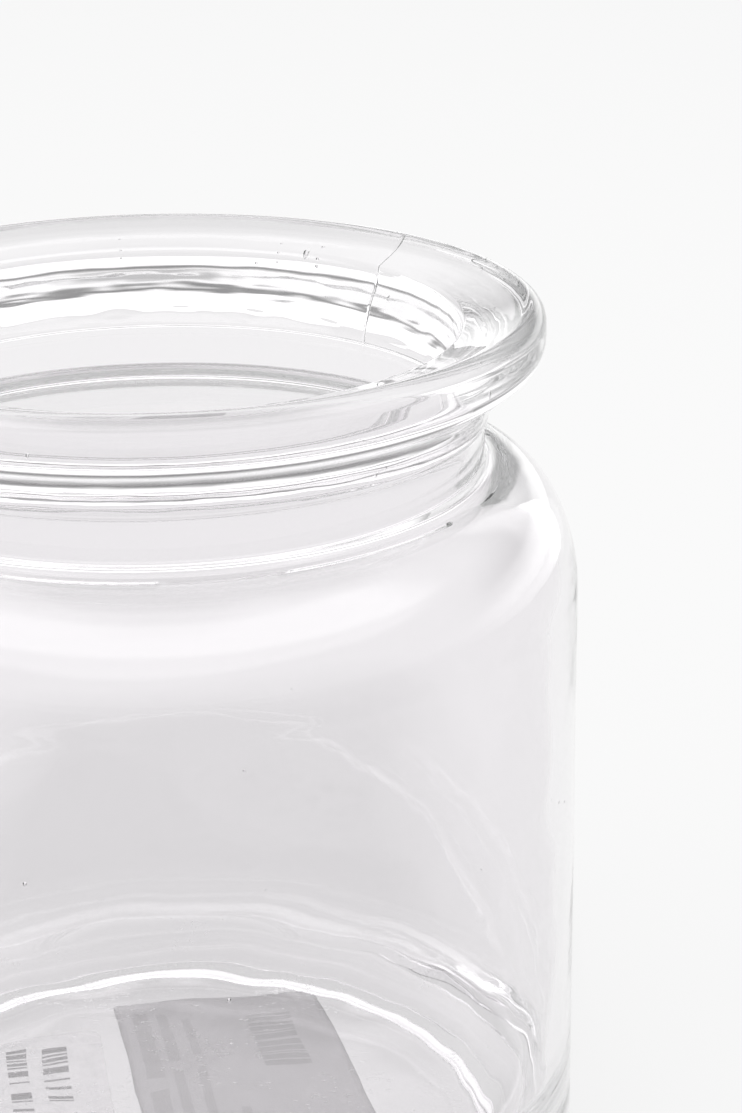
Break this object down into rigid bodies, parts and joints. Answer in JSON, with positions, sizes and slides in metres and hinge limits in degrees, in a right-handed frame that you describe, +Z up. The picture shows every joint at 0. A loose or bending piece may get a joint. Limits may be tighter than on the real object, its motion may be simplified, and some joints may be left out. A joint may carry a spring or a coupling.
{
  "type": "empty candle jar",
  "caption": "Round clear-glass apothecary candle jar with a flanged rim, short neck and domed shoulder, and two stickers under its base.",
  "frame": {"origin": "centre of the circle that the jar stands on, under the middle of the base", "axes": "+Z up along the jar's axis of revolution towards the mouth; +X and +Y are level, with +Y running away from the side that the labels' long edges lean towards"},
  "size_m": [0.107, 0.107, 0.12],
  "materials": {
    "clear_glass": "clear pressed glass, fire-polished, slightly wavy, faint mould seams and a few seeds",
    "clear_film": "clear self-adhesive film with plain grey printed bars",
    "label_paper": "matt self-adhesive paper with plain grey printed bars"
  },
  "bodies": {
    "root": {"glass_jar": "clear_glass", "care_label": "clear_film", "barcode_label": "label_paper"}
  },
  "joints": []
}
